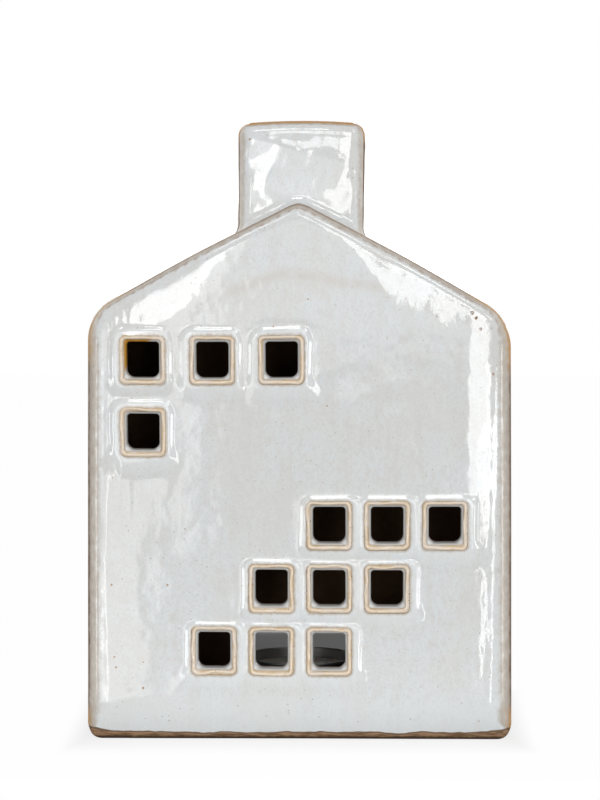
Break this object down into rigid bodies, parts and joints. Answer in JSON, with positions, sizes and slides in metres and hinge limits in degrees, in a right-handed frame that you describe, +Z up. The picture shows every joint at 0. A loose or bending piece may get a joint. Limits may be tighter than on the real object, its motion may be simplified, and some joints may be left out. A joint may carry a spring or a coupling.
{
  "type": "tealight house",
  "caption": "Glazed stoneware house with a gable roof, open chimney, small square framed windows and a back doorway, lit from inside by a tealight that slides out.",
  "frame": {"origin": "middle of the underside", "axes": "+Z up, -Y towards the windowed front face, +X to the right seen from the front"},
  "size_m": [0.1412, 0.076, 0.203],
  "materials": {
    "glaze": "glossy white reactive glaze that breaks to brown at edges",
    "rim_clay": "tan where the glaze runs thin",
    "cup_aluminium": "thin pressed foil",
    "wax": "white wax",
    "wick": "waxed cotton",
    "tab_steel": "thin tinned steel"
  },
  "bodies": {
    "house": {"front_wall": "glaze", "back_wall": "glaze", "left_wall": "glaze", "right_wall": "glaze", "left_roof": "glaze", "right_roof": "glaze", "floor": "glaze", "chimney_front": "glaze", "chimney_back": "glaze", "chimney_left": "glaze", "chimney_right": "glaze", "window_rim_upper_1": "rim_clay", "window_rim_upper_2": "rim_clay", "window_rim_upper_3": "rim_clay", "window_rim_upper_4": "rim_clay", "window_rim_lower_1": "rim_clay", "window_rim_lower_2": "rim_clay", "window_rim_lower_3": "rim_clay", "window_rim_lower_4": "rim_clay", "window_rim_lower_5": "rim_clay", "window_rim_lower_6": "rim_clay", "window_rim_lower_7": "rim_clay", "window_rim_lower_8": "rim_clay", "window_rim_lower_9": "rim_clay"},
    "tealight_cup": {"tealight_cup": "cup_aluminium"},
    "candle": {"candle_wax": "wax", "candle_wick": "wick", "wick_sustainer": "tab_steel"}
  },
  "joints": [
    {"name": "tealight_slide", "type": "slide", "parent": "house", "child": "tealight_cup", "axis": [0, 1, 0], "range_m": [0, 0.06]},
    {"name": "candle_lift", "type": "slide", "parent": "tealight_cup", "child": "candle", "axis": [0, 0, 1], "range_m": [0, 0.018]}
  ]
}
